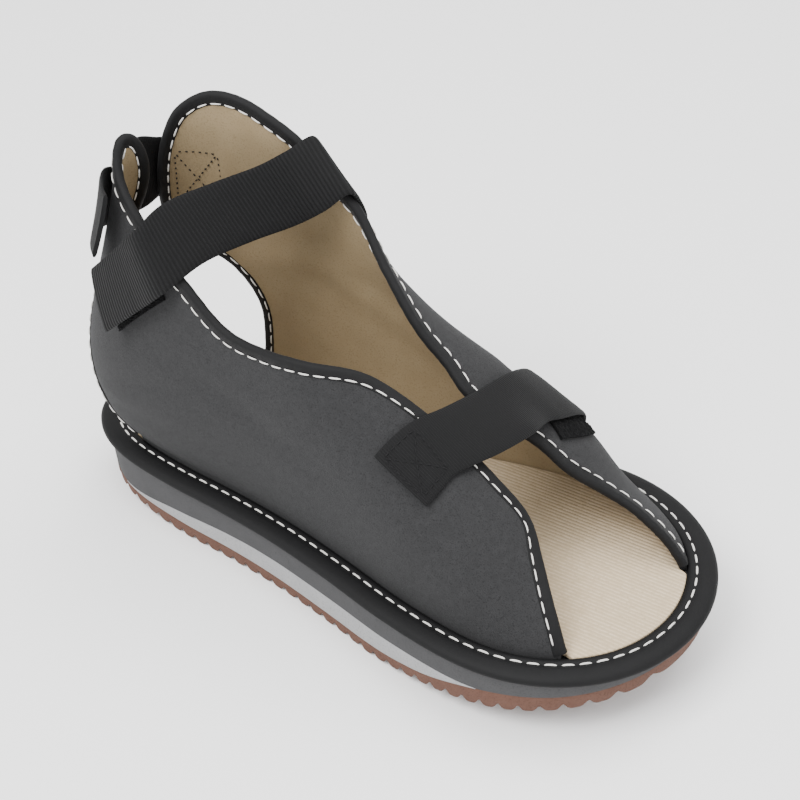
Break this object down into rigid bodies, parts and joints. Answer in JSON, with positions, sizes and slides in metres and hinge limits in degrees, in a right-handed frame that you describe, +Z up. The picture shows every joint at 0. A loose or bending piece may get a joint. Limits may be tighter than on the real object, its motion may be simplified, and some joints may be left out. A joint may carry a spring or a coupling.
{
  "type": "rocker bottom cast shoe",
  "caption": "Open-toe cast shoe with hook-and-loop straps on a wide rocker sole.",
  "frame": {"origin": "centre of the bounding box's base, on the ground under the tread", "axes": "+X to the toe, +Y to the far quarter (the shoe's left), +Z up"},
  "size_m": [0.2734, 0.1188, 0.1726],
  "materials": {
    "rubber_brown": "matte",
    "foam_white": "matte",
    "foam_grey": "matte",
    "rim_black": "matte",
    "lining_beige": "matte",
    "upper_grey": "matte",
    "binding_black": "matte",
    "webbing_black": "matte",
    "hook_black": "matte"
  },
  "bodies": {
    "root": {"outsole": "rubber_brown", "rocker_wedge": "foam_white", "midsole": "foam_grey", "platform_rim": "rim_black", "insole": "lining_beige", "upper": "upper_grey", "near_binding": "binding_black", "far_binding": "binding_black", "ankle_strap": "webbing_black", "ankle_hook_patch": "hook_black", "forefoot_strap": "webbing_black", "forefoot_loop_patch": "hook_black", "heel_strap": "webbing_black"}
  },
  "joints": []
}
